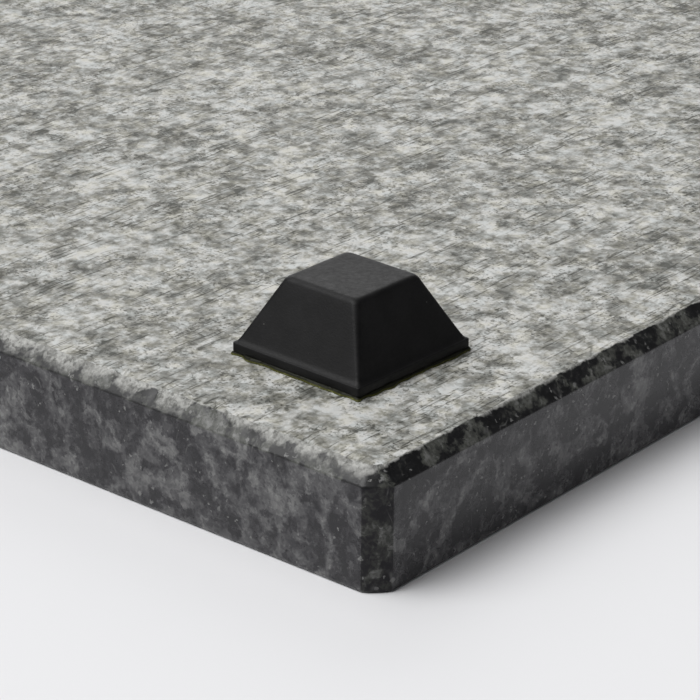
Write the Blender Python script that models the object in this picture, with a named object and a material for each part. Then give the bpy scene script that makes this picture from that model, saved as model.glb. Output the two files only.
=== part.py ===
"""Granite slab for leather stamping and edge work, with its four stick-on feet.

The slab lies on its polished working face, at z = 0, and its sawn underside faces up
with a tapered rubber foot near each corner. In use it is turned over onto the feet.
Lengths are in metres, +Z is up, and the origin is the centre of the polished face.
"""

import math

import bmesh
import bpy
from mathutils import Matrix, Vector

COLLECTION_NAME = "granite_slab_assembly"

# Slab: a square tile blank with eased edges.
SLAB_SIDE = 0.3048
SLAB_THICKNESS = 0.0095
SLAB_CORNER_CUT = 0.0016
SLAB_CHAMFER = 0.0012
SLAB_ARRIS = 0.0003

# Foot: a square bumper with an upright lip, a narrow ledge and a tapered body.
FOOT_BASE = 0.0127
FOOT_TOP = 0.0070
FOOT_HEIGHT = 0.0060
FOOT_LIP_HEIGHT = 0.00075
FOOT_LEDGE = 0.0003
FOOT_LIP_CORNER = 0.00025
FOOT_EDGE_RADIUS = 0.0004
FOOT_EDGE_SEGMENTS = 3
FOOT_INSET = 0.0154

# Adhesive: a thin pad that fills most of the space between a foot and the stone.
BOND_SPACE = 0.0003
BOND_CLEARANCE = 0.00005
PAD_MARGIN = 0.00035
PAD_CORNER_RADIUS = 0.0004
PAD_CORNER_SEGMENTS = 3

# How near a height counts as level, and how sharp a fold counts as an edge to ease.
LEVEL = 1e-6
FOLD_ANGLE = math.radians(10.0)

# The feet are pressed on by hand, so each sits a degree or so off square.
FOOT_PLACES = {
    "front_left": (-1, -1, -1.5),
    "front_right": (1, -1, 0.8),
    "back_left": (-1, 1, 0.6),
    "back_right": (1, 1, -1.1),
}

# Finishes: colour, roughness and metallic value of each material.
FINISHES = {
    "granite": ((0.30, 0.31, 0.29), 0.55, 0.0),
    "rubber": ((0.022, 0.022, 0.023), 0.70, 0.0),
    "adhesive": ((0.20, 0.18, 0.10), 0.35, 0.0),
}


def clear_scene():
    """Remove every object that the start-up scene holds."""
    for existing in list(bpy.data.objects):
        bpy.data.objects.remove(existing, do_unlink=True)


def make_material(name, finish):
    """Return a Principled material of the named finish."""
    colour, roughness, metallic = FINISHES[finish]
    material = bpy.data.materials.new(name + "_" + finish)
    material.use_nodes = True
    shader = material.node_tree.nodes["Principled BSDF"]
    shader.inputs["Base Color"].default_value = (*colour, 1.0)
    shader.inputs["Roughness"].default_value = roughness
    shader.inputs["Metallic"].default_value = metallic
    material.diffuse_color = (*colour, 1.0)
    return material


def add_object(name, form, finish, collection):
    """Turn a bmesh into a named, shaded object in the collection."""
    mesh = bpy.data.meshes.new(name)
    form.to_mesh(mesh)
    form.free()
    mesh.shade_smooth()
    mesh.set_sharp_from_angle(angle=math.radians(30.0))
    mesh.materials.append(make_material(name, finish))
    piece = bpy.data.objects.new(name, mesh)
    collection.objects.link(piece)
    return piece


def block(width, depth, height):
    """Return a bmesh box that stands on z = 0, centred in plan."""
    form = bmesh.new()
    bmesh.ops.create_cube(form, size=1.0)
    bmesh.ops.scale(form, vec=(width, depth, height), verts=form.verts)
    bmesh.ops.translate(form, vec=(0.0, 0.0, height / 2.0), verts=form.verts)
    return form


def upright_edges(form):
    """Return the edges that run straight up."""
    return [e for e in form.edges if abs((e.verts[0].co - e.verts[1].co).normalized().z) > 0.999]


def rim_edges(form, height):
    """Return the folded edges that lie level at one height."""
    level = [e for e in form.edges if all(abs(v.co.z - height) < LEVEL for v in e.verts)]
    return [e for e in level if e.calc_face_angle(0.0) > FOLD_ANGLE]


def edges_reaching(form, height):
    """Return every edge with at least one end at the height."""
    return [e for e in form.edges if any(abs(v.co.z - height) < LEVEL for v in e.verts)]


def ease(form, edges, setback, segments=1):
    """Bevel edges by a setback on each face: one segment is a chamfer, more are a round."""
    bmesh.ops.bevel(form, geom=edges, offset=setback, offset_type="OFFSET", segments=segments,
                    profile=0.5, affect="EDGES", clamp_overlap=True)


def build_slab(collection):
    """Cut the stone: corners ground flat, a chamfer round the sawn face, an arris below."""
    form = block(SLAB_SIDE, SLAB_SIDE, SLAB_THICKNESS)
    ease(form, upright_edges(form), SLAB_CORNER_CUT)
    ease(form, rim_edges(form, SLAB_THICKNESS), SLAB_CHAMFER)
    ease(form, rim_edges(form, 0.0), SLAB_ARRIS)
    return add_object("granite_slab", form, "granite", collection)


def foot_form():
    """Return the bumper, standing on its lip at z = 0, with its edges rounded."""
    form = block(FOOT_BASE, FOOT_BASE, FOOT_LIP_HEIGHT)
    body_base = FOOT_BASE - 2.0 * FOOT_LEDGE
    taper = FOOT_TOP / body_base
    ledge = max(form.faces, key=lambda face: face.calc_center_median().z)
    bmesh.ops.inset_region(form, faces=[ledge], thickness=FOOT_LEDGE)
    crown = bmesh.ops.extrude_discrete_faces(form, faces=[ledge])["faces"][0]
    bmesh.ops.translate(form, vec=(0.0, 0.0, FOOT_HEIGHT - FOOT_LIP_HEIGHT), verts=crown.verts)
    bmesh.ops.scale(form, vec=(taper, taper, 1.0), verts=crown.verts)
    ease(form, edges_reaching(form, FOOT_HEIGHT), FOOT_EDGE_RADIUS, FOOT_EDGE_SEGMENTS)
    ease(form, upright_edges(form), FOOT_LIP_CORNER, FOOT_EDGE_SEGMENTS)
    return form


def pad_form():
    """Return the adhesive pad, a thin square with rounded corners on z = 0."""
    side = FOOT_BASE - 2.0 * PAD_MARGIN
    form = block(side, side, BOND_SPACE - 2.0 * BOND_CLEARANCE)
    ease(form, upright_edges(form), PAD_CORNER_RADIUS, PAD_CORNER_SEGMENTS)
    return form


def corner_placement(across, along, twist, height):
    """Return the matrix that sets a piece at a corner of the slab, at a height."""
    reach = SLAB_SIDE / 2.0 - FOOT_INSET
    place = Matrix.Translation(Vector((across * reach, along * reach, height)))
    return place @ Matrix.Rotation(math.radians(twist), 4, "Z")


def build_feet(collection):
    """Stick a foot and its adhesive pad on the sawn face near each corner."""
    pad_height = SLAB_THICKNESS + BOND_CLEARANCE
    foot_height = SLAB_THICKNESS + BOND_SPACE
    for corner, (across, along, twist) in FOOT_PLACES.items():
        pad = add_object("adhesive_" + corner, pad_form(), "adhesive", collection)
        pad.matrix_world = corner_placement(across, along, twist, pad_height)
        foot = add_object("foot_" + corner, foot_form(), "rubber", collection)
        foot.matrix_world = corner_placement(across, along, twist, foot_height)


def main():
    """Build the slab, its feet and their adhesive."""
    clear_scene()
    collection = bpy.data.collections.new(COLLECTION_NAME)
    bpy.context.scene.collection.children.link(collection)
    build_slab(collection)
    build_feet(collection)


main()
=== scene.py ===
"""A granite slab for leatherwork, face down, with its rubber feet up, ready to be pictured.

The stone is one finely cut mesh with chipped arrises, each foot is a moulded bumper and
each adhesive pad a squeezed bead. Lengths are in metres unless a name ends in _mm.
"""

import logging
import math
from collections.abc import Sequence
from dataclasses import dataclass, field
from enum import Enum
from typing import Union

import bpy
import numpy as np
from mathutils import Matrix, Vector, noise

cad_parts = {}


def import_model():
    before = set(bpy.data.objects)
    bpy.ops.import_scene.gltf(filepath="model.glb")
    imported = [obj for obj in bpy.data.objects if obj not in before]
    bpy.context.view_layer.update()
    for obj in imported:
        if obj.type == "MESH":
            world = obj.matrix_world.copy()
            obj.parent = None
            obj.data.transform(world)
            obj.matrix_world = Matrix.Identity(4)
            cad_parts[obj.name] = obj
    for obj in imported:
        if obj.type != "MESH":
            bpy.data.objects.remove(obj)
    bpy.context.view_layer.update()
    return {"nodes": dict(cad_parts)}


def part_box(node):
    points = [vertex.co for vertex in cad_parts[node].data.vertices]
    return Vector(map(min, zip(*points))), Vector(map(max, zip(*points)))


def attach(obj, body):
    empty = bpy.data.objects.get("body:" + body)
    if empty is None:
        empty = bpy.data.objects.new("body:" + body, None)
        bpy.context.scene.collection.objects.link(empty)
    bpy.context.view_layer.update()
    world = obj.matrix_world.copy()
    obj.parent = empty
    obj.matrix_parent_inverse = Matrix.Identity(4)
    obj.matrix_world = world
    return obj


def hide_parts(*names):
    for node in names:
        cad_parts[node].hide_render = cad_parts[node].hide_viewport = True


LOG = logging.getLogger("granite_slab")

MM = 0.001
PER_MM = 1000.0
BODY = "root"

# How strong each finer octave of a noise is.
EVEN = 0.5
FRAYED = 0.6
RAGGED = 0.65

Colour = tuple[float, float, float]
Triple = tuple[float, float, float]
Socket = bpy.types.NodeSocket
Value = Union[Socket, float, Triple]
Faces = list[tuple[int, ...]]


class Slot(Enum):
    """The record's material slots."""

    GRANITE = "granite"
    RUBBER = "foot_rubber"
    ADHESIVE = "foot_adhesive"


class Corner(Enum):
    """The four corners of the slab that carry a foot."""

    FRONT_LEFT = "front_left"
    FRONT_RIGHT = "front_right"
    BACK_LEFT = "back_left"
    BACK_RIGHT = "back_right"


class StoneFace(Enum):
    """The faces of the slab that get their own material, by material index; the chamfer's and the
    corner's darker stone colours are painted shade.
    """

    SAWN = 0
    CHAMFER = 1
    EDGE = 2
    WORKING = 3
    CORNER = 4


# ---------------------------------------------------------------- shader wiring


class Wiring:
    """A pen that draws nodes in one shader tree and joins them up."""

    def __init__(self, tree: bpy.types.NodeTree) -> None:
        """Start on a tree.

        Args:
            tree: The node tree to draw in.
        """
        self.tree = tree

    def node(self, kind: str, **settings: object) -> bpy.types.Node:
        """Add a node.

        Args:
            kind: The node's type name, without its ShaderNode prefix.
            settings: Properties to set on the node.

        Returns:
            The new node.
        """
        made = self.tree.nodes.new("ShaderNode" + kind)
        for name, value in settings.items():
            setattr(made, name, value)
        return made

    def feed(self, target: Socket, value: Value) -> None:
        """Link a socket to the target, or set the target's own value.

        Args:
            target: The input socket.
            value: A socket, a number, or a colour or vector of three numbers.
        """
        if isinstance(value, bpy.types.NodeSocket):
            self.tree.links.new(value, target)
        elif target.type == "RGBA":
            target.default_value = (*value, 1.0)
        else:
            target.default_value = value

    def math(self, operation: str, first: Value, second: Value = 0.0,
             clamp: bool = False) -> Socket:
        """Return the result of a Math node.

        Args:
            operation: The Math node's operation.
            first: The first value or socket.
            second: The second value or socket.
            clamp: Whether the result is kept between 0 and 1.

        Returns:
            The result's socket.
        """
        made = self.node("Math", operation=operation, use_clamp=clamp)
        self.feed(made.inputs[0], first)
        self.feed(made.inputs[1], second)
        return made.outputs[0]

    def total(self, parts: Sequence[tuple[Value, float]]) -> Socket:
        """Return a weighted sum.

        Args:
            parts: Pairs of a value or socket and its weight.

        Returns:
            The sum's socket.
        """
        result: Value = 0.0
        for value, weight in parts:
            made = self.node("Math", operation="MULTIPLY_ADD")
            self.feed(made.inputs[0], value)
            self.feed(made.inputs[1], weight)
            self.feed(made.inputs[2], result)
            result = made.outputs[0]
        return result

    def vector(self, operation: str, first: Value, second: Value = (0.0, 0.0, 0.0),
               scale: float | None = None) -> Socket:
        """Return the result of a Vector Math node.

        Args:
            operation: The node's operation.
            first: The first vector.
            second: The second vector.
            scale: The factor of a SCALE operation.

        Returns:
            The vector's socket.
        """
        made = self.node("VectorMath", operation=operation)
        self.feed(made.inputs[0], first)
        self.feed(made.inputs[1], second)
        if scale is not None:
            self.feed(made.inputs["Scale"], scale)
        return made.outputs["Vector"]

    def noise(self, place: Socket, scale: float, detail: float = 2.0, rough: float = EVEN,
              output: str = "Fac") -> Socket:
        """Return fractal noise.

        Args:
            place: The coordinates.
            scale: Features for each unit of the coordinates.
            detail: How many octaves are added.
            rough: How strong each finer octave is.
            output: Fac for one value, Color for three.

        Returns:
            The noise's socket.
        """
        made = self.node("TexNoise")
        self.feed(made.inputs["Vector"], place)
        self.feed(made.inputs["Scale"], scale)
        self.feed(made.inputs["Detail"], detail)
        self.feed(made.inputs["Roughness"], rough)
        return made.outputs[output]

    def swirl(self, place: Socket, scale: float) -> Socket:
        """Return frayed noise as a vector about zero, with scale features for each unit."""
        colour = self.noise(place, scale, 3.0, FRAYED, "Color")
        return self.vector("SUBTRACT", colour, (0.5, 0.5, 0.5))

    def streaks(self, place: Socket, scales: Triple, detail: float = 2.0, rough: float = EVEN) -> Socket:
        """Return noise that is drawn out by having its own scale along X, Y and Z.

        Args:
            place: The coordinates.
            scales: Features for each unit along X, Y and Z.
            detail: How many octaves are added.
            rough: How strong each finer octave is.

        Returns:
            The noise's socket.
        """
        return self.noise(self.vector("MULTIPLY", place, scales), 1.0, detail, rough)

    def crease(self, value: Socket) -> Socket:
        """Return how far a noise value is from its middle, which is 0 along winding lines."""
        return self.math("ABSOLUTE", self.math("SUBTRACT", value, 0.5))

    def cells(self, place: Socket, scale: Value) -> bpy.types.Node:
        """Return a Voronoi node.

        Args:
            place: The coordinates.
            scale: Cells for each unit of the coordinates.

        Returns:
            The node, with its Distance and Color outputs.
        """
        made = self.node("TexVoronoi", feature="F1")
        self.feed(made.inputs["Vector"], place)
        self.feed(made.inputs["Scale"], scale)
        return made

    def channel(self, colour: Socket, name: str) -> Socket:
        """Return one channel of a colour.

        Args:
            colour: The colour.
            name: Red, Green or Blue.

        Returns:
            The channel's socket.
        """
        made = self.node("SeparateColor")
        self.feed(made.inputs[0], colour)
        return made.outputs[name]

    def step(self, value: Value, low: float, high: float, start: float = 0.0,
             end: float = 1.0) -> Socket:
        """Return a smooth step.

        Args:
            value: The value that is mapped.
            low: The value where the step starts.
            high: The value where the step ends.
            start: The result at low and before it.
            end: The result at high and past it.

        Returns:
            The step's socket.
        """
        made = self.node("MapRange", interpolation_type="SMOOTHSTEP")
        for slot, given in zip(("Value", "From Min", "From Max", "To Min", "To Max"),
                               (value, low, high, start, end)):
            self.feed(made.inputs[slot], given)
        return made.outputs["Result"]

    def ramp(self, value: Socket, stops: Sequence[tuple[float, Colour]]) -> Socket:
        """Return a colour ramp's colour.

        Args:
            value: The value that picks the colour.
            stops: Places between 0 and 1 with their colours.

        Returns:
            The colour's socket.
        """
        made = self.node("ValToRGB")
        elements = made.color_ramp.elements
        while len(elements) < len(stops):
            elements.new(0.5)
        for element, (place, colour) in zip(elements, stops):
            element.position = place
            element.color = (*colour, 1.0)
        self.feed(made.inputs[0], value)
        return made.outputs["Color"]

    def blend(self, mask: Value, under: Value, over: Value, mode: str = "MIX") -> Socket:
        """Return one colour laid over another.

        Args:
            mask: How much of the upper colour shows.
            under: The lower colour.
            over: The upper colour.
            mode: The blending mode.

        Returns:
            The blended colour's socket.
        """
        made = self.node("Mix", data_type="RGBA", blend_type=mode)
        self.feed(made.inputs["Factor"], mask)
        self.feed(made.inputs[6], under)
        self.feed(made.inputs[7], over)
        return made.outputs[2]

    def bump(self, height: Socket, distance: float) -> Socket:
        """Return a normal bent by a height.

        Args:
            height: The height, where 0 to 1 is the whole relief.
            distance: How deep the whole relief is, in metres.

        Returns:
            The normal's socket.
        """
        made = self.node("Bump")
        self.feed(made.inputs["Height"], height)
        self.feed(made.inputs["Distance"], distance)
        self.feed(made.inputs["Strength"], 1.0)
        return made.outputs["Normal"]

    def place_mm(self) -> Socket:
        """Return the piece's own coordinates in millimetres."""
        coordinates = self.node("TexCoord").outputs["Object"]
        return self.vector("SCALE", coordinates, scale=PER_MM)

    def split(self, place: Socket) -> bpy.types.NodeOutputs:
        """Split a place into its coordinates.

        Args:
            place: The place.

        Returns:
            The X, Y and Z outputs.
        """
        made = self.node("SeparateXYZ")
        self.feed(made.inputs[0], place)
        return made.outputs

    def use(self, group: bpy.types.NodeTree, **inputs: Value) -> bpy.types.Node:
        """Place a node group.

        Args:
            group: The group's tree.
            inputs: Its inputs by name, with underscores for spaces.

        Returns:
            The group node.
        """
        made = self.node("Group")
        made.node_tree = group
        for name, value in inputs.items():
            self.feed(made.inputs[name.replace("_", " ")], value)
        return made


def start_group(name: str, inputs: Sequence[tuple[str, str, float | None]],
                outputs: Sequence[tuple[str, str]],
                ) -> tuple[Wiring, bpy.types.NodeOutputs, bpy.types.Node]:
    """Start a shader node group.

    Args:
        name: The group's name.
        inputs: Each input's name, its kind (Vector, Float or Color) and its default.
        outputs: Each output's name and kind.

    Returns:
        The group's wiring, its input sockets and its output node.
    """
    group = bpy.data.node_groups.new(name, "ShaderNodeTree")
    for label, kind, default in inputs:
        made = group.interface.new_socket(label, in_out="INPUT", socket_type="NodeSocket" + kind)
        if default is not None:
            made.default_value = default
    for label, kind in outputs:
        group.interface.new_socket(label, in_out="OUTPUT", socket_type="NodeSocket" + kind)
    entry = group.nodes.new("NodeGroupInput")
    leave = group.nodes.new("NodeGroupOutput")
    return Wiring(group), entry.outputs, leave


@dataclass(frozen=True)
class Grain:
    """How many crystals of each kind, or swings of a vein, lie along a millimetre of stone."""

    drift: float = 0.40
    fray: float = 2.4
    veins: float = 0.19
    crystals: float = 0.75
    grains: float = 1.9
    grit: float = 4.6
    tint: float = 0.9
    flecks: float = 1.9
    flocks: float = 0.55
    strands: float = 0.55
    strand_gaps: float = 0.8


def scatter_flecks(pen: Wiring, place: Socket, fray: Socket, grain: Grain) -> Socket:
    """Draw the stone's pale flecks: loose flocks of ragged specks and a few thin strands.

    Args:
        pen: The wiring to draw in.
        place: The coordinates in millimetres.
        fray: A fine swirl that frays the specks' outlines.
        grain: The stone's crystal sizes.

    Returns:
        The flecks' mask.
    """
    frayed = pen.vector("ADD", place, pen.vector("SCALE", fray, scale=0.85))
    dots = pen.cells(frayed, grain.flecks)
    size = pen.total([(pen.channel(dots.outputs["Color"], "Green"), 0.22), (1.0, 0.14)])
    inside = pen.math("GREATER_THAN", size, dots.outputs["Distance"])
    chosen = pen.step(pen.channel(dots.outputs["Color"], "Red"), 0.60, 0.64)
    specks = pen.math("MULTIPLY", inside, chosen)
    upright = pen.vector("MULTIPLY", place, (0.75, 0.75, 0.42))
    thread = pen.step(pen.crease(pen.noise(upright, grain.strands, 1.0)), 0.018, 0.0)
    broken = pen.step(pen.noise(place, grain.strand_gaps, 2.0), 0.45, 0.70)
    strands = pen.math("MULTIPLY", thread, broken)
    both = pen.math("MAXIMUM", specks, pen.math("MULTIPLY", strands, 0.5))
    flocks = pen.step(pen.noise(place, grain.flocks, 1.0), 0.40, 0.56)
    return pen.math("MULTIPLY", both, flocks)


def mineral_group() -> bpy.types.NodeTree:
    """Build the stone's crystals: ragged veins of feldspar, dark grains and pale flecks.

    Returns:
        A group from a place in millimetres to Vein, Crystal, Grain, Grit, Fleck and Tint, all
        about 0 to 1.
    """
    grain = Grain()
    outputs = ("Vein", "Crystal", "Grain", "Grit", "Fleck", "Tint")
    pen, entry, leave = start_group("Granite minerals", [("Place", "Vector", None)],
                                    [(label, "Float") for label in outputs])
    place = entry["Place"]
    fray = pen.swirl(place, grain.fray)
    warped = pen.vector("ADD", place, pen.vector("SCALE", pen.swirl(place, grain.drift), scale=2.6))
    warped = pen.vector("ADD", warped, pen.vector("SCALE", fray, scale=0.8))
    made = {
        "Vein": pen.step(pen.crease(pen.noise(warped, grain.veins, 2.0, 0.55)), 0.10, 0.0),
        "Crystal": pen.channel(pen.cells(warped, grain.crystals).outputs["Color"], "Red"),
        "Grain": pen.channel(pen.cells(warped, grain.grains).outputs["Color"], "Green"),
        "Grit": pen.channel(pen.cells(place, grain.grit).outputs["Color"], "Blue"),
        "Fleck": scatter_flecks(pen, place, fray, grain),
        "Tint": pen.noise(place, grain.tint, 3.0, FRAYED),
    }
    for label in outputs:
        pen.feed(leave.inputs[label], made[label])
    return pen.tree


def saw_mark_group() -> bpy.types.NodeTree:
    """Build the fine parallel marks of the gang saw, which run along X and come and go.

    Returns:
        A group from a place in millimetres to Line, the dark scratches, and Height.
    """
    pen, entry, leave = start_group(
        "Saw marks", [("Place", "Vector", None)], [("Line", "Float"), ("Height", "Float")])
    place = entry["Place"]
    hair = pen.streaks(place, (0.85, 3.4, 0.8), 2.0, FRAYED)
    sweep = pen.streaks(place, (0.16, 1.6, 0.4), 2.0, FRAYED)
    cut = pen.streaks(place, (0.32, 4.4, 0.6), 1.0)
    lines = pen.total([(pen.step(hair, 0.54, 0.70), 0.3), (pen.step(sweep, 0.56, 0.70), 0.3),
                       (pen.step(cut, 0.60, 0.67), 0.9)])
    patches = pen.step(pen.streaks(place, (0.12, 0.28, 0.2)), 0.38, 0.58)
    strength = pen.total([(patches, 0.9), (1.0, 0.1)])
    pen.feed(leave.inputs["Line"], pen.math("MULTIPLY", lines, strength))
    pen.feed(leave.inputs["Height"], pen.total([(hair, 0.6), (sweep, 0.7), (lines, -0.5)]))
    return pen.tree


def arris_group() -> bpy.types.NodeTree:
    """Build the mask of wear that hugs the arrises at one level of the slab.

    The saw marks run out over the arrises that face along X, so more is torn away there, but
    less towards the slab's corners.

    Returns:
        A group that gives Wear near the line where the larger of |x| and |y| is Half and z is
        Level, out to about Reach, all in millimetres.
    """
    pen, entry, leave = start_group(
        "Arris wear",
        [("Place", "Vector", None), ("Half", "Float", 150.0), ("Level", "Float", 9.5),
         ("Reach", "Float", 0.3)],
        [("Wear", "Float")])
    split = pen.split(entry["Place"])
    out_x = pen.math("ABSOLUTE", split["X"])
    out_y = pen.math("ABSOLUTE", split["Y"])
    across = pen.math("SUBTRACT", pen.math("MAXIMUM", out_x, out_y), entry["Half"])
    rise = pen.math("SUBTRACT", split["Z"], entry["Level"])
    away = pen.math("SQRT", pen.math("ADD", pen.math("MULTIPLY", across, across),
                                     pen.math("MULTIPLY", rise, rise)))
    turned = pen.math("SUBTRACT", out_x, out_y)
    facing_x = pen.step(turned, -1.0, 1.5, 0.25, 0.85)
    from_corner = pen.step(turned, 0.0, 18.0, 0.0, 0.25)
    torn = pen.math("ADD", facing_x, from_corner)
    spread = pen.step(pen.noise(entry["Place"], 0.34, 4.0, 0.62), 0.38, 0.66, 0.15, 2.1)
    reach = pen.math("MULTIPLY", pen.math("MULTIPLY", entry["Reach"], spread), torn)
    near = pen.math("SUBTRACT", 1.0, pen.math("DIVIDE", away, reach), clamp=True)
    pen.feed(leave.inputs["Wear"], pen.step(near, 0.0, 0.85))
    return pen.tree


def dust_group() -> bpy.types.NodeTree:
    """Build a scatter of tiny specks.

    Returns:
        A group from a place in millimetres, a Spacing between specks in millimetres and an
        Amount of them, 0 to 1, to a Speck mask.
    """
    pen, entry, leave = start_group(
        "Dust specks",
        [("Place", "Vector", None), ("Spacing", "Float", 1.0), ("Amount", "Float", 0.3)],
        [("Speck", "Float")])
    scattered = pen.cells(entry["Place"], pen.math("DIVIDE", 1.0, entry["Spacing"]))
    speck = pen.step(scattered.outputs["Distance"], 0.16, 0.07)
    drawn = pen.math("LESS_THAN", pen.channel(scattered.outputs["Color"], "Red"), entry["Amount"])
    pen.feed(leave.inputs["Speck"], pen.math("MULTIPLY", speck, drawn))
    return pen.tree


@dataclass
class Effects:
    """The shader groups that the finishes draw on, each built once."""

    minerals: bpy.types.NodeTree = field(default_factory=mineral_group)
    saw_marks: bpy.types.NodeTree = field(default_factory=saw_mark_group)
    arris: bpy.types.NodeTree = field(default_factory=arris_group)
    dust: bpy.types.NodeTree = field(default_factory=dust_group)


def start_material(name: str, colour: Colour) -> tuple[bpy.types.Material, Wiring, bpy.types.Node]:
    """Start a material.

    Args:
        name: The material's name.
        colour: Its plain colour, where nodes aren't shown.

    Returns:
        The material, its wiring and its Principled shader.
    """
    material = bpy.data.materials.new(name)
    material.use_nodes = True
    material.diffuse_color = (*colour, 1.0)
    return material, Wiring(material.node_tree), material.node_tree.nodes["Principled BSDF"]


# ---------------------------------------------------------------------- finishes


@dataclass(frozen=True)
class SawnStone:
    """The pale, saw-marked underside: crystals bruised lighter, with patches of small dark pits."""

    dark: Colour = (0.070, 0.070, 0.060)
    middle: Colour = (0.235, 0.234, 0.212)
    light: Colour = (0.55, 0.548, 0.528)
    warm: Colour = (1.0, 0.985, 0.92)
    cool: Colour = (0.95, 0.98, 1.0)
    roughness: float = 0.62
    gloss: float = 0.35
    relief: float = 0.08 * MM

    def material(self, effects: Effects) -> bpy.types.Material:
        """Make the finish's material.

        Args:
            effects: The shared shader groups.

        Returns:
            The material.
        """
        material, pen, shader = start_material("granite_sawn", self.middle)
        place = pen.place_mm()
        stone = pen.use(effects.minerals, Place=place).outputs
        saw = pen.use(effects.saw_marks, Place=place).outputs
        broad = pen.noise(place, 0.24, 1.0)
        clouds = pen.noise(place, 0.72, 3.0, FRAYED)
        crumbs = pen.noise(place, 1.8, 2.0, FRAYED)
        patches = pen.step(pen.noise(place, 0.36, 2.0), 0.44, 0.60)
        pits = pen.math("MULTIPLY", pen.step(stone["Grit"], 0.26, 0.14), patches)
        tone = pen.total([(stone["Crystal"], 0.27), (stone["Grain"], 0.20), (stone["Grit"], 0.05),
                          (stone["Vein"], 0.05), (broad, 0.85), (clouds, 1.50), (crumbs, 0.62),
                          (saw["Line"], -0.36), (pits, -0.28), (1.0, -1.18)])
        body = pen.ramp(tone, [(0.12, self.dark), (0.46, self.middle), (0.88, self.light)])
        tinted = pen.ramp(stone["Tint"], [(0.36, self.warm), (0.50, (1.0, 1.0, 1.0)), (0.64, self.cool)])
        pen.feed(shader.inputs["Base Color"], pen.blend(1.0, body, tinted, "MULTIPLY"))
        pen.feed(shader.inputs["Roughness"], self.roughness)
        pen.feed(shader.inputs["Specular IOR Level"], self.gloss)
        height = pen.total([(tone, 0.6), (crumbs, 0.4), (saw["Height"], 0.45), (pits, -0.5)])
        pen.feed(shader.inputs["Normal"], pen.bump(height, self.relief))
        return material


@dataclass(frozen=True)
class PolishedStone:
    """Ground or polished stone: near-black mass, grey clouds, pale flecks and worn arrises.

    The wear follows the arrises that lie half_mm out and at level_mm, out to about reach_mm.
    """

    name: str
    roughness: float
    half_mm: float
    level_mm: float
    reach_mm: float
    gloss: float = 0.40
    black: Colour = (0.012, 0.0115, 0.0135)
    slate: Colour = (0.028, 0.027, 0.030)
    cloud: Colour = (0.077, 0.076, 0.078)
    pale: Colour = (0.180, 0.180, 0.176)
    crushed: Colour = (0.13, 0.13, 0.12)
    bruise: Colour = (0.42, 0.42, 0.40)
    relief: float = 0.05 * MM

    def material(self, effects: Effects) -> bpy.types.Material:
        """Make the finish's material.

        Args:
            effects: The shared shader groups.

        Returns:
            The material.
        """
        material, pen, shader = start_material(self.name, self.slate)
        place = pen.place_mm()
        stone = pen.use(effects.minerals, Place=place).outputs
        tone = pen.total([(stone["Vein"], 0.30), (stone["Crystal"], 0.26), (stone["Grain"], 0.22),
                          (stone["Grit"], 0.14), (stone["Tint"], 0.62), (1.0, -0.265)])
        body = pen.ramp(tone, [(0.28, self.black), (0.44, self.slate),
                               (0.66, self.cloud), (0.96, self.pale)])
        flecked = pen.blend(pen.math("MULTIPLY", stone["Fleck"], 0.85), body, self.pale)
        wear = pen.use(effects.arris, Place=place, Half=self.half_mm, Level=self.level_mm,
                       Reach=self.reach_mm).outputs["Wear"]
        crumbs = pen.noise(place, 2.6, 3.0, RAGGED)
        broken = pen.total([(stone["Grain"], 0.45), (stone["Grit"], 0.20), (crumbs, 1.4), (1.0, -0.50)])
        torn = pen.ramp(broken, [(0.15, self.crushed), (0.80, self.bruise)])
        pen.feed(shader.inputs["Base Color"], pen.blend(wear, flecked, torn))
        haze = pen.noise(place, 0.9, 3.0, FRAYED)
        rough = pen.total([(haze, 0.12), (wear, 0.30), (1.0, self.roughness - 0.06)])
        pen.feed(shader.inputs["Roughness"], rough)
        pen.feed(shader.inputs["Specular IOR Level"], self.gloss)
        pits = pen.step(pen.noise(place, 4.2, 2.0), 0.62, 0.75)
        rubble = pen.math("MULTIPLY", wear, broken)
        height = pen.total([(pits, -0.2), (wear, -0.8), (rubble, 1.2), (haze, 0.1)])
        pen.feed(shader.inputs["Normal"], pen.bump(height, self.relief))
        return material


@dataclass(frozen=True)
class MouldedRubber:
    """Matte black rubber with a fine moulded grain and a little lint."""

    body: Colour = (0.0020, 0.0019, 0.0021)
    bloom: Colour = (0.0045, 0.0043, 0.0046)
    lint: Colour = (0.060, 0.060, 0.056)
    roughness: float = 0.33
    gloss: float = 0.23
    relief: float = 0.014 * MM

    def material(self, effects: Effects) -> bpy.types.Material:
        """Make the finish's material.

        Args:
            effects: The shared shader groups.

        Returns:
            The material.
        """
        material, pen, shader = start_material("moulded_rubber", self.body)
        place = pen.place_mm()
        clouds = pen.noise(place, 0.5, 3.0, FRAYED)
        grain = pen.streaks(place, (2.6, 2.6, 5.72), 2.0, FRAYED)
        speck = pen.use(effects.dust, Place=place, Spacing=0.6, Amount=0.05).outputs["Speck"]
        body = pen.blend(pen.step(clouds, 0.40, 0.66), self.body, self.bloom)
        pen.feed(shader.inputs["Base Color"], pen.blend(speck, body, self.lint))
        rough = pen.total([(clouds, 0.14), (grain, 0.24), (speck, 0.2), (1.0, self.roughness)])
        pen.feed(shader.inputs["Roughness"], rough)
        pen.feed(shader.inputs["Specular IOR Level"], self.gloss)
        height = pen.total([(pen.noise(place, 9.0, 2.0), 0.4), (grain, 0.9), (speck, 1.2)])
        pen.feed(shader.inputs["Normal"], pen.bump(height, self.relief))
        return material


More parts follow.
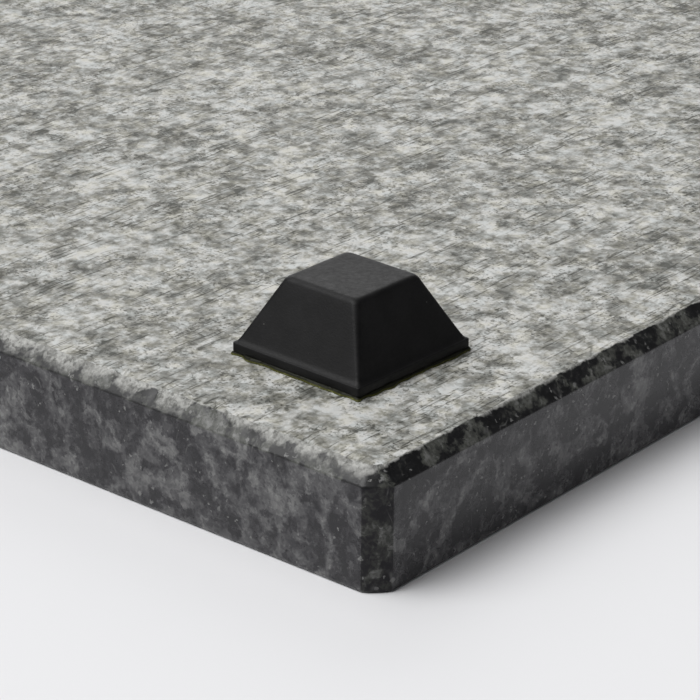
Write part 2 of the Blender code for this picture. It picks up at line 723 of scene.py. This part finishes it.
@dataclass(frozen=True)
class Adhesive:
    """Rubbery adhesive, yellow-green and dusty where it meets the stone, with painted shade under the
    lip.

    It starts at level_mm; a painted shade darkens it from lit_mm above that, and has turned it dark
    shaded_mm above that.
    """

    level_mm: float
    lit_mm: float = 0.02
    shaded_mm: float = 0.20
    body: Colour = (0.088, 0.090, 0.014)
    dusty: Colour = (0.190, 0.195, 0.070)
    painted_shade: Colour = (0.008, 0.0085, 0.003)
    roughness: float = 0.55
    gloss: float = 0.2
    relief: float = 0.02 * MM

    def material(self) -> bpy.types.Material:
        """Make the finish's material.

        Returns:
            The material.
        """
        material, pen, shader = start_material("foot_adhesive", self.body)
        place = pen.place_mm()
        dust = pen.step(pen.noise(place, 2.4, 3.0, FRAYED), 0.50, 0.68)
        # Painted shade: the bead's colour turns to a dark shade colour with height, standing in for the
        # shadow under the rubber lip.
        under = pen.step(pen.split(place)["Z"], self.level_mm + self.lit_mm,
                         self.level_mm + self.shaded_mm)
        rim = pen.blend(dust, self.body, self.dusty)
        pen.feed(shader.inputs["Base Color"], pen.blend(under, rim, self.painted_shade))
        pen.feed(shader.inputs["Roughness"], pen.total([(dust, 0.35), (1.0, self.roughness)]))
        pen.feed(shader.inputs["Specular IOR Level"], self.gloss)
        pen.feed(shader.inputs["Normal"], pen.bump(pen.noise(place, 3.0, 2.0), self.relief))
        return material


@dataclass(frozen=True)
class PaleFloor:
    """A matte pale floor that fades away between two distances from its middle, in metres."""

    fade_start: float
    fade_end: float
    colour: Colour = (0.765, 0.765, 0.777)
    mottle: float = 0.99
    roughness: float = 0.6
    gloss: float = 0.2

    def material(self) -> bpy.types.Material:
        """Make the finish's material.

        Returns:
            The material.
        """
        material, pen, shader = start_material("pale_floor", self.colour)
        place = pen.place_mm()
        darker = tuple(self.mottle * channel for channel in self.colour)
        shade = pen.ramp(pen.noise(place, 0.02, 2.0), [(0.3, darker), (0.7, self.colour)])
        away = pen.node("VectorMath", operation="LENGTH")
        pen.feed(away.inputs[0], place)
        solid = pen.step(away.outputs["Value"], self.fade_start * PER_MM, self.fade_end * PER_MM,
                         1.0, 0.0)
        pen.feed(shader.inputs["Base Color"], shade)
        pen.feed(shader.inputs["Roughness"], self.roughness)
        pen.feed(shader.inputs["Specular IOR Level"], self.gloss)
        pen.feed(shader.inputs["Alpha"], solid)
        return material


# ------------------------------------------------------------------------ meshes


@dataclass(frozen=True)
class Ring:
    """One loop of a lofted form: a square with eased corners, at one height."""

    half: float
    corner: float
    height: float


@dataclass(frozen=True)
class Outline:
    """How a lofted form's loops are stepped and how full its corners are.

    A fullness of 1 rounds the corners and 0 cuts them straight across.
    """

    side_steps: int
    corner_steps: int
    fullness: float = 1.0

    @property
    def count(self) -> int:
        """Return how many points each loop has."""
        return 4 * (self.side_steps + self.corner_steps)


def eased_square(half: float, corner: float, outline: Outline) -> np.ndarray:
    """Return points round a square with eased corners, anticlockwise from the front left.

    Args:
        half: Half the width of the square.
        corner: How far along each side its corners reach.
        outline: The steps and the corners' fullness.

    Returns:
        An array of the outline's count of points in the plane.
    """
    straight = half - corner
    along = np.linspace(-straight, straight, outline.side_steps, endpoint=False)
    share = np.linspace(0.0, 1.0, outline.corner_steps, endpoint=False)
    turn = (share - 1.0) * math.pi / 2.0
    side = np.stack([along, np.full(outline.side_steps, -half)], axis=1)
    arc = np.stack([straight + corner * np.cos(turn), -straight + corner * np.sin(turn)], axis=1)
    flat = np.stack([straight + corner * share, -half + corner * share], axis=1)
    quarter = np.concatenate([side, outline.fullness * arc + (1.0 - outline.fullness) * flat])
    points = []
    for _ in range(4):
        points.append(quarter)
        quarter = np.stack([-quarter[:, 1], quarter[:, 0]], axis=1)
    return np.concatenate(points)


def loft(rings: Sequence[Ring], outline: Outline) -> tuple[np.ndarray, Faces]:
    """Join rings into a tube, the lowest or innermost ring first.

    Args:
        rings: The loops, in order.
        outline: The steps and the corners' fullness.

    Returns:
        The points and the quads between neighbouring loops.
    """
    count = outline.count
    layers = []
    for ring in rings:
        flat = eased_square(ring.half, ring.corner, outline)
        layers.append(np.column_stack([flat, np.full(count, ring.height)]))
    faces = []
    for level in range(len(rings) - 1):
        base = level * count
        for i in range(count):
            j = (i + 1) % count
            faces.append((base + i, base + j, base + count + j, base + count + i))
    return np.concatenate(layers), faces


def close_ends(points: np.ndarray, faces: Faces, outline: Outline) -> None:
    """Close the first and the last loop of a loft with one face each.

    Args:
        points: The loft's points.
        faces: The loft's faces, to which the two are added.
        outline: The loops' outline.
    """
    faces.append(tuple(reversed(range(outline.count))))
    faces.append(tuple(range(len(points) - outline.count, len(points))))


def make_piece(name: str, points: np.ndarray, faces: Faces, materials: Sequence[bpy.types.Material],
               indices: Sequence[int] | None = None, sharp_degrees: float = 20.0) -> bpy.types.Object:
    """Turn points and faces into a smooth-shaded piece in the scene.

    Args:
        name: The piece's name.
        points: The vertices.
        faces: The faces, as tuples of vertex numbers.
        materials: The piece's materials.
        indices: Each face's material index, or None where there is one material.
        sharp_degrees: Folds sharper than this stay crisp.

    Returns:
        The new object.
    """
    mesh = bpy.data.meshes.new(name)
    mesh.from_pydata(points.tolist(), [], faces)
    for material in materials:
        mesh.materials.append(material)
    if indices is not None:
        mesh.polygons.foreach_set("material_index", indices)
    mesh.shade_smooth()
    mesh.set_sharp_from_angle(angle=math.radians(sharp_degrees))
    mesh.update()
    piece = bpy.data.objects.new(name, mesh)
    bpy.context.scene.collection.objects.link(piece)
    return piece


def mount_piece(piece: bpy.types.Object, node: str) -> None:
    """Tie a finished piece to the model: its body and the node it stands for.

    Args:
        piece: The piece.
        node: The node that it replaces.
    """
    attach(piece, BODY)
    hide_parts(node)
    LOG.info("%s: %d faces, replaces %s", piece.name, len(piece.data.polygons), node)


@dataclass
class Slab:
    """The stone: sawn underside up, chamfered and ground edges, polished working face down.

    The wear on its arrises is worked out from noise, and never reaches outside the sharp stone.
    chamfer_loops are shares of the way up the chamfer, and sawn_loops lie that far inside it.
    """

    low: Vector
    high: Vector
    corner_cut: float = 1.6 * MM
    chamfer: float = 1.2 * MM
    arris: float = 0.3 * MM
    softened: float = 0.34 * MM
    chamfer_loops: tuple[float, ...] = (0.35, 0.65, 0.85, 0.97)
    spill: float = 0.03 * MM
    sawn_loops: tuple[float, ...] = (0.16 * MM, 0.36 * MM, 0.7 * MM, 1.2 * MM)
    outline: Outline = Outline(1144, 8, 0.30)
    coarsening: int = 16
    least_corner: float = 0.15 * MM
    margin: float = 2.4 * MM
    chip_depth: float = 0.20 * MM
    chip_reach_mm: float = 1.3
    sheltered: float = 0.35
    nick_depth: float = 0.05 * MM
    nick_reach: float = 0.5 * MM
    saw_wave: float = 0.02 * MM
    hair: float = 0.001 * MM
    crisp_degrees: float = 38.0

    @property
    def half(self) -> float:
        """Half the slab's width."""
        return (self.high.x - self.low.x) / 2.0

    @property
    def top(self) -> float:
        """The level of the sawn face."""
        return self.high.z

    def profile(self) -> list[tuple[float, float, StoneFace]]:
        """Return the section from the working face round to the sawn face.

        Returns:
            Each ring's inset from the widest outline, its height, and the finish of the strip
            that leads up to it.
        """
        chamfer, arris, top = self.chamfer, self.arris, self.top
        rows = [(self.margin, 0.0, StoneFace.WORKING), (arris, 0.0, StoneFace.WORKING)]
        for degrees in (30.0, 60.0, 90.0):
            turn = math.radians(degrees)
            rows.append((arris * (1.0 - math.sin(turn)), arris * (1.0 - math.cos(turn)),
                         StoneFace.EDGE))
        start = top - chamfer - self.softened * math.tan(math.pi / 8.0)
        for degrees in (0.0, 15.0, 30.0, 45.0):
            turn = math.radians(degrees)
            finish = StoneFace.EDGE if degrees < 20.0 else StoneFace.CHAMFER
            rows.append((self.softened * (1.0 - math.cos(turn)),
                         start + self.softened * math.sin(turn), finish))
        for share in self.chamfer_loops:
            rows.append((share * chamfer, top - (1.0 - share) * chamfer, StoneFace.CHAMFER))
        rows.append((chamfer + self.spill, top, StoneFace.CHAMFER))
        for beyond in self.sawn_loops:
            rows.append((chamfer + beyond, top, StoneFace.SAWN))
        return rows

    def finish_of(self, strip: StoneFace, column: int) -> int:
        """Pick the material of one facet of a strip, which differs on the slab's corners, where the edge
        takes a darker copy of the stone as painted shade.

        Args:
            strip: The strip's finish.
            column: The facet's place round the loop.

        Returns:
            The facet's material index.
        """
        across = column % (self.outline.count // 4)
        # Painted shade: the edge's facets round a corner take the darker corner copy of the stone.
        if strip is StoneFace.EDGE and across >= self.outline.side_steps:
            return StoneFace.CORNER.value
        return strip.value

    def chip(self, place: Vector, reach_mm: float) -> float:
        """Work out how deep the arris round the sawn face is chipped.

        Args:
            place: A place in millimetres.
            reach_mm: How far the place is from the arris.

        Returns:
            The depth in metres.
        """
        bite = noise.fractal(place * 0.9, 0.7, 2.2, 3) - 0.16
        fine = abs(noise.noise(place * 5.0))
        depth = self.chip_depth * min(max(bite, 0.0), 1.0) * 2.0 + self.nick_depth * fine
        return depth * max(0.0, 1.0 - reach_mm / self.chip_reach_mm) ** 1.5

    def nick(self, place: Vector, height: float) -> float:
        """Work out how deep the arris round the working face is nicked.

        Args:
            place: A place in millimetres.
            height: The place's height in metres.

        Returns:
            The depth in metres.
        """
        near = abs(height - self.arris) / self.nick_reach
        bite = max(0.0, noise.noise(place * 1.6) - 0.25)
        return 2.0 * self.nick_depth * bite * max(0.0, 1.0 - near)

    def weather(self, points: np.ndarray) -> np.ndarray:
        """Chip the arris round the sawn face, ripple that face, and nick the lowest arris.

        Args:
            points: The sharp stone's points.

        Returns:
            The worn points, none of them outside the sharp stone.
        """
        worn = points.copy()
        edge = self.half - self.chamfer
        for i, (x, y, z) in enumerate(points):
            out = max(abs(x), abs(y))
            place = Vector((x, y, z)) * PER_MM
            reach_mm = math.hypot(out - edge, z - self.top) / MM
            if reach_mm < self.chip_reach_mm:
                depth = self.chip(place, reach_mm)
                depth *= 1.0 if abs(x) > abs(y) else self.sheltered
                worn[i, 2] -= 0.8 * depth
                worn[i, :2] *= 1.0 - 0.6 * depth / out
            elif z > self.top - self.hair:
                wave = noise.noise(Vector((place.x * 0.02, place.y * 0.35, 0.0)))
                worn[i, 2] -= self.saw_wave * (0.5 + 0.5 * wave)
            elif self.half - out < 2.0 * self.arris and z < self.top - self.chamfer:
                worn[i, :2] *= 1.0 - self.nick(place, z) / out
        return worn

    def lattice(self, ring: np.ndarray, first: int, count: int, level: float,
                upward: bool) -> tuple[np.ndarray, Faces]:
        """Fill the square inside a loop with a coarse grid, joined to every point of the loop.

        Args:
            ring: The loop's points in the plane.
            first: The number of the loop's first point.
            count: The number that the next new point will have.
            level: The height of the grid.
            upward: Whether the faces look up.

        Returns:
            The grid's points and all the faces.
        """
        per_side = self.outline.count // 4 // self.coarsening
        start = self.outline.side_steps + self.outline.corner_steps // 2
        inner = np.abs(ring).max() - self.margin * 0.5
        ticks = np.linspace(-inner, inner, per_side + 1)
        grid_x, grid_y = np.meshgrid(ticks, ticks, indexing="ij")
        points = np.column_stack([grid_x.ravel(), grid_y.ravel(), np.full(grid_x.size, level)])

        def at(i: int, j: int) -> int:
            """Return the number of one grid point."""
            return count + i * (per_side + 1) + j

        faces = [(at(i, j), at(i + 1, j), at(i + 1, j + 1), at(i, j + 1))
                 for i in range(per_side) for j in range(per_side)]
        rim = ([at(per_side, j) for j in range(per_side)]
               + [at(per_side - i, per_side) for i in range(per_side)]
               + [at(0, per_side - j) for j in range(per_side)]
               + [at(i, 0) for i in range(per_side)])
        total = len(ring)
        for k, corner in enumerate(rim):
            outer = [first + (start + k * self.coarsening + m) % total
                     for m in range(self.coarsening + 1)]
            faces.append((*outer, rim[(k + 1) % len(rim)], corner))
        if not upward:
            faces = [tuple(reversed(face)) for face in faces]
        return points, faces

    def build(self, materials: Sequence[bpy.types.Material]) -> bpy.types.Object:
        """Cut the stone.

        Args:
            materials: The finishes, in StoneFace's order.

        Returns:
            The slab.
        """
        rows = self.profile()
        shrink = 2.0 - math.sqrt(2.0)
        rings = [Ring(self.half - inset, max(self.corner_cut - shrink * inset, self.least_corner),
                      height)
                 for inset, height, _ in rows]
        points, faces = loft(rings, self.outline)
        total = self.outline.count
        finish = [self.finish_of(rows[1 + i // total][2], i % total) for i in range(len(faces))]
        below, floor_faces = self.lattice(points[:total, :2], 0, len(points), 0.0, False)
        count = len(points) + len(below)
        last = len(points) - total
        above, roof_faces = self.lattice(points[last:, :2], last, count, self.top, True)
        finish += [StoneFace.WORKING.value] * len(floor_faces)
        finish += [StoneFace.SAWN.value] * len(roof_faces)
        points = self.weather(np.concatenate([points, below, above]))
        piece = make_piece("granite_stone", points, faces + floor_faces + roof_faces, materials,
                           finish, self.crisp_degrees)
        mount_piece(piece, "granite_slab")
        return piece

    def finishes(self, effects: Effects) -> list[bpy.types.Material]:
        """Make the slab's finishes.

        Args:
            effects: The shared shader groups.

        Returns:
            The materials, in StoneFace's order.
        """
        inner, outer = (self.half - self.chamfer) * PER_MM, self.half * PER_MM
        upper = self.top * PER_MM
        finishes = {
            StoneFace.SAWN: SawnStone(),
            # The chamfer uses the stone with darker black, slate and cloud colours: painted shade.
            StoneFace.CHAMFER: PolishedStone(
                "granite_chamfer_painted_shade", 0.38, inner, upper, 0.90, gloss=0.34, black=(0.004, 0.004, 0.0045),
                slate=(0.0105, 0.0105, 0.0112), cloud=(0.064, 0.066, 0.058)),
            StoneFace.EDGE: PolishedStone("granite_edge", 0.26, outer, 0.0, 0.02),
            StoneFace.WORKING: PolishedStone("granite_working_face", 0.10, outer, 0.0, 0.10),
            # The rounded corner uses the edge stone, duller and with darker slate and cloud colours; the
            # darker colours are painted shade.
            StoneFace.CORNER: PolishedStone(
                "granite_corner_painted_shade", 0.34, outer, 0.0, 0.02, gloss=0.16, slate=(0.016, 0.015, 0.017),
                cloud=(0.042, 0.043, 0.039)),
        }
        return [finishes[face].material(effects) for face in StoneFace]


@dataclass
class Foot:
    """A moulded bumper: an upright lip, a fillet, four slightly hollow flanks, a dished crown."""

    corner: Corner
    low: Vector
    high: Vector
    twist: float
    base: float = 12.7 * MM
    crown: float = 7.12 * MM
    lip: float = 0.72 * MM
    lip_ease: float = 0.07 * MM
    lip_corner: float = 0.22 * MM
    ledge: float = 0.20 * MM
    fillet: float = 0.03 * MM
    fillet_height: float = 0.08 * MM
    flank_loops: int = 14
    flank_corner: float = 0.32 * MM
    crown_corner: float = 0.52 * MM
    crown_setback: float = 0.38 * MM
    dish: float = 0.03 * MM
    hollow: float = 0.01 * MM
    hair: float = 0.02 * MM
    outline: Outline = Outline(18, 8)
    crisp_degrees: float = 50.0

    @property
    def height(self) -> float:
        """The foot's height from its lip's underside to its crown."""
        return self.high.z - self.low.z

    @property
    def run(self) -> float:
        """How far a flank leans in, from the foot of its fillet to the edge of the crown."""
        return self.base / 2.0 - self.ledge - self.crown / 2.0

    @property
    def lean(self) -> float:
        """How steeply the flanks climb, in radians."""
        return math.atan2(self.height - self.lip, self.run)

    def rings(self) -> list[Ring]:
        """Return the foot's loops, from the middle of its underside to the middle of its crown."""
        rings = self.lip_rings() + self.flank_rings()
        return rings + self.crown_rings(rings[-1])

    def lip_rings(self) -> list[Ring]:
        """Draw the underside and the upright lip with its eased edges.

        Returns:
            The loops, from the middle of the underside to the top of the lip.
        """
        half, ease, hair = self.base / 2.0, self.lip_ease, self.hair
        inner = self.lip_corner - hair
        between = self.lip_corner - hair / 2.0
        return [
            Ring(0.4 * MM, 0.1 * MM, 0.0),
            Ring(half - 0.6 * MM, inner, 0.0),
            Ring(half - 0.06 * MM, inner, 0.0),
            Ring(half - hair, between, hair),
            Ring(half, self.lip_corner, ease),
            Ring(half, self.lip_corner, self.lip - ease),
            Ring(half - hair, between, self.lip - hair),
            Ring(half - ease, inner, self.lip),
        ]

    def flank_rings(self) -> list[Ring]:
        """Draw the fillet over the lip and the slightly hollow flanks.

        Returns:
            The loops, lowest first.
        """
        foot = self.base / 2.0 - self.ledge
        run = self.run - self.crown_setback * math.cos(self.lean)
        climb = self.height - self.lip - self.crown_setback * math.sin(self.lean)
        rings = []
        for share in np.linspace(0.0, 1.0, self.flank_loops):
            dip = self.hollow * math.sin(math.pi * share ** 0.7)
            fillet = self.fillet * math.exp(-share * climb / self.fillet_height)
            corner = self.flank_corner + (self.crown_corner - self.flank_corner) * share
            rings.append(Ring(foot - run * share - dip + fillet, corner,
                              self.lip + max(share * climb, self.hair)))
        return rings

    def crown_rings(self, last: Ring) -> list[Ring]:
        """Draw the rounding from the flanks into the crown, and the crown's shallow dish.

        Args:
            last: The flanks' highest loop.

        Returns:
            The loops, from the flanks to near the middle of the crown.
        """
        rings = []
        lean = self.lean
        radius = self.crown_setback / math.tan(lean / 2.0)
        for share in np.linspace(0.0, 1.0, 7)[1:]:
            turn = lean * (1.0 - share)
            rings.append(Ring(last.half - radius * (math.sin(lean) - math.sin(turn)), last.corner,
                              last.height + radius * (math.cos(turn) - math.cos(lean))))
        flat = rings[-1].half
        for share in (0.90, 0.70, 0.40, 0.12):
            rings.append(Ring(flat * share, 0.5 * MM * share,
                              self.height - self.dish * (1.0 - share) ** 0.5))
        return rings

    def seat(self, level: float) -> Matrix:
        """Return the placement of the foot's own axis and twist, at a level in metres."""
        middle = (self.low + self.high) / 2.0
        return Matrix.Translation((middle.x, middle.y, level)) @ Matrix.Rotation(self.twist, 4, "Z")

    def build(self, rubber: bpy.types.Material) -> bpy.types.Object:
        """Mould the foot and set it over its node.

        Args:
            rubber: The foot's finish.

        Returns:
            The foot.
        """
        points, faces = loft(self.rings(), self.outline)
        close_ends(points, faces, self.outline)
        piece = make_piece("rubber_foot_" + self.corner.value, points, faces, [rubber],
                           sharp_degrees=self.crisp_degrees)
        piece.data.transform(self.seat(self.low.z))
        mount_piece(piece, "foot_" + self.corner.value)
        return piece


@dataclass
class Bead:
    """The adhesive that fills the space under a foot and is squeezed out round its lip.

    Its section's points are shares of the squeeze outwards from the lip and of the gap upwards.
    """

    corner: Corner
    foot: Foot
    stone_top: float
    squeeze: float = 0.15 * MM
    wander: float = 0.36 * MM
    rounding: float = 0.3 * MM
    section: tuple[tuple[float, float], ...] = (
        (-0.40, 0.0), (0.75, 0.0), (1.0, 0.12), (0.85, 0.40), (0.30, 0.75), (-0.15, 1.0),
        (-0.80, 1.0))
    outline: Outline = Outline(60, 6)
    crisp_degrees: float = 60.0

    def wandered(self, points: np.ndarray) -> np.ndarray:
        """Push the bead's sides in and out a little, as squeezed adhesive goes.

        Args:
            points: The even bead's points.

        Returns:
            The points, with the first and the last loop left alone.
        """
        moved = points.copy()
        seed = Vector((self.foot.low.x, self.foot.low.y, 0.0)) * PER_MM
        for i in range(self.outline.count, len(points) - self.outline.count):
            x, y, _ = points[i]
            push = noise.noise(Vector((x, y, 0.0)) * PER_MM * 0.7 + seed)
            moved[i, :2] *= 1.0 + self.wander * max(push, -0.6) / (self.foot.base / 2.0)
        return moved

    def build(self, adhesive: bpy.types.Material) -> bpy.types.Object:
        """Lay the bead and set it over its node.

        Args:
            adhesive: The bead's finish.

        Returns:
            The bead.
        """
        half = self.foot.base / 2.0
        gap = self.foot.low.z - self.stone_top
        rings = [Ring(half + self.squeeze * out, self.rounding, gap * up) for out, up in self.section]
        points, faces = loft(rings, self.outline)
        close_ends(points, faces, self.outline)
        piece = make_piece("adhesive_bead_" + self.corner.value, self.wandered(points), faces,
                           [adhesive], sharp_degrees=self.crisp_degrees)
        piece.data.transform(self.foot.seat(self.stone_top))
        mount_piece(piece, "adhesive_" + self.corner.value)
        return piece


def twist_of(node: bpy.types.Object) -> float:
    """Return how far a square foot is turned from square, measured on its lowest outline.

    Args:
        node: The foot's node.

    Returns:
        The twist in radians, within an eighth of a turn of zero.
    """
    lowest = min(vertex.co.z for vertex in node.data.vertices)
    flat = [vertex.co.to_2d() for vertex in node.data.vertices if vertex.co.z < lowest + 0.01 * MM]
    middle = sum(flat, Vector((0.0, 0.0))) / len(flat)
    reach = max((point - middle).length for point in flat)
    rim = [point - middle for point in flat if (point - middle).length > 0.97 * reach]
    quarter = math.pi / 2.0
    turns = [math.atan2(point.y, point.x) % quarter - quarter / 2.0 for point in rim]
    return sum(turns) / len(turns)


# ------------------------------------------------------------------------ studio


@dataclass(frozen=True)
class Softbox:
    """A square panel of light that faces a point."""

    name: str
    direction: Triple
    distance: float
    size: float
    power: float


@dataclass
class Studio:
    """A plain pale floor, soft light from behind on the left, and a close, low camera."""

    aim: Vector
    floor_radius: float = 2.4
    floor_corners: int = 96
    floor_drop: float = 0.01 * MM
    fade_start: float = 0.9
    camera_offset: Triple = (-0.1612, -0.1334, 0.0917)
    aim_offset: Triple = (0.0, 0.00011, 0.000145)
    lens: float = 155.8
    nearest: float = 0.005
    farthest: float = 50.0
    roll_degrees: float = 0.49
    softboxes: tuple[Softbox, ...] = (
        Softbox("key", (-0.46, 0.295, 0.85), 5.4, 4.05, 312.0),
        Softbox("back", (0.62, 0.62, 0.36), 5.4, 4.2, 78.0),
        Softbox("over", (0.05, 0.46, 0.88), 5.4, 3.0, 42.0),
        Softbox("low", (-0.80, 0.58, 0.20), 5.4, 2.6, 24.0),
    )
    room_colour: Colour = (0.14, 0.14, 0.143)
    backdrop_colour: Colour = (0.86, 0.86, 0.87)

    def lay_floor(self) -> None:
        """Lay a round floor, a hair under the slab, that fades away towards its rim."""
        count = self.floor_corners
        turns = [math.tau * i / count for i in range(count)]
        rim = [(self.floor_radius * math.cos(turn), self.floor_radius * math.sin(turn), 0.0)
               for turn in turns]
        faces = [(0, 1 + i, 1 + (i + 1) % count) for i in range(count)]
        finish = PaleFloor(self.fade_start, self.floor_radius).material()
        floor = make_piece("studio_floor", np.array([(0.0, 0.0, 0.0), *rim]), faces, [finish])
        floor.location.z = -self.floor_drop

    def hang_lights(self) -> None:
        """Hang the softboxes round the near foot, out of the camera's sight."""
        for box in self.softboxes:
            lamp = bpy.data.lights.new("softbox_" + box.name, "AREA")
            lamp.shape = "SQUARE"
            lamp.size = box.size
            lamp.energy = box.power
            holder = bpy.data.objects.new("softbox_" + box.name, lamp)
            toward = Vector(box.direction).normalized()
            holder.location = self.aim + toward * box.distance
            holder.rotation_euler = toward.to_track_quat("Z", "Y").to_euler()
            holder.visible_camera = False
            bpy.context.scene.collection.objects.link(holder)

    def paint_room(self) -> None:
        """Make a dim room whose walls look pale behind the floor."""
        world = bpy.data.worlds.new("dim_room")
        world.use_nodes = True
        pen = Wiring(world.node_tree)
        seen = pen.node("LightPath").outputs["Is Camera Ray"]
        colour = pen.blend(seen, self.room_colour, self.backdrop_colour)
        pen.feed(world.node_tree.nodes["Background"].inputs["Color"], colour)
        bpy.context.scene.world = world

    def place_camera(self) -> None:
        """Set the camera low over the near corner, looking along the slab's diagonal."""
        lens = bpy.data.cameras.new("camera")
        lens.lens = self.lens
        lens.clip_start = self.nearest
        lens.clip_end = self.farthest
        camera = bpy.data.objects.new("camera", lens)
        camera.location = self.aim + Vector(self.camera_offset)
        sight = self.aim + Vector(self.aim_offset) - camera.location
        facing = sight.to_track_quat("-Z", "Y").to_matrix().to_4x4()
        roll = Matrix.Rotation(math.radians(self.roll_degrees), 4, "Z")
        camera.rotation_euler = (facing @ roll).to_euler()
        bpy.context.scene.collection.objects.link(camera)
        bpy.context.scene.camera = camera

    def build(self) -> None:
        """Set the whole studio."""
        self.lay_floor()
        self.hang_lights()
        self.paint_room()
        self.place_camera()
        bpy.context.scene.view_settings.view_transform = "Standard"


def main() -> None:
    """Build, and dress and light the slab."""
    logging.basicConfig(level=logging.INFO, format="%(name)s: %(message)s")
    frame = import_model()
    effects = Effects()
    slab = Slab(*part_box("granite_slab"))
    slab.build(slab.finishes(effects))
    rubber = MouldedRubber().material(effects)
    adhesive = Adhesive(slab.top * PER_MM).material()
    for corner in Corner:
        node = "foot_" + corner.value
        foot = Foot(corner, *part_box(node), twist=twist_of(frame["nodes"][node]))
        foot.build(rubber)
        Bead(corner, foot, slab.top).build(adhesive)
    near_low, near_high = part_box("foot_" + Corner.FRONT_LEFT.value)
    aim = Vector(((near_low.x + near_high.x) / 2.0, (near_low.y + near_high.y) / 2.0, slab.top))
    Studio(aim).build()


if __name__ == "__main__":
    main()
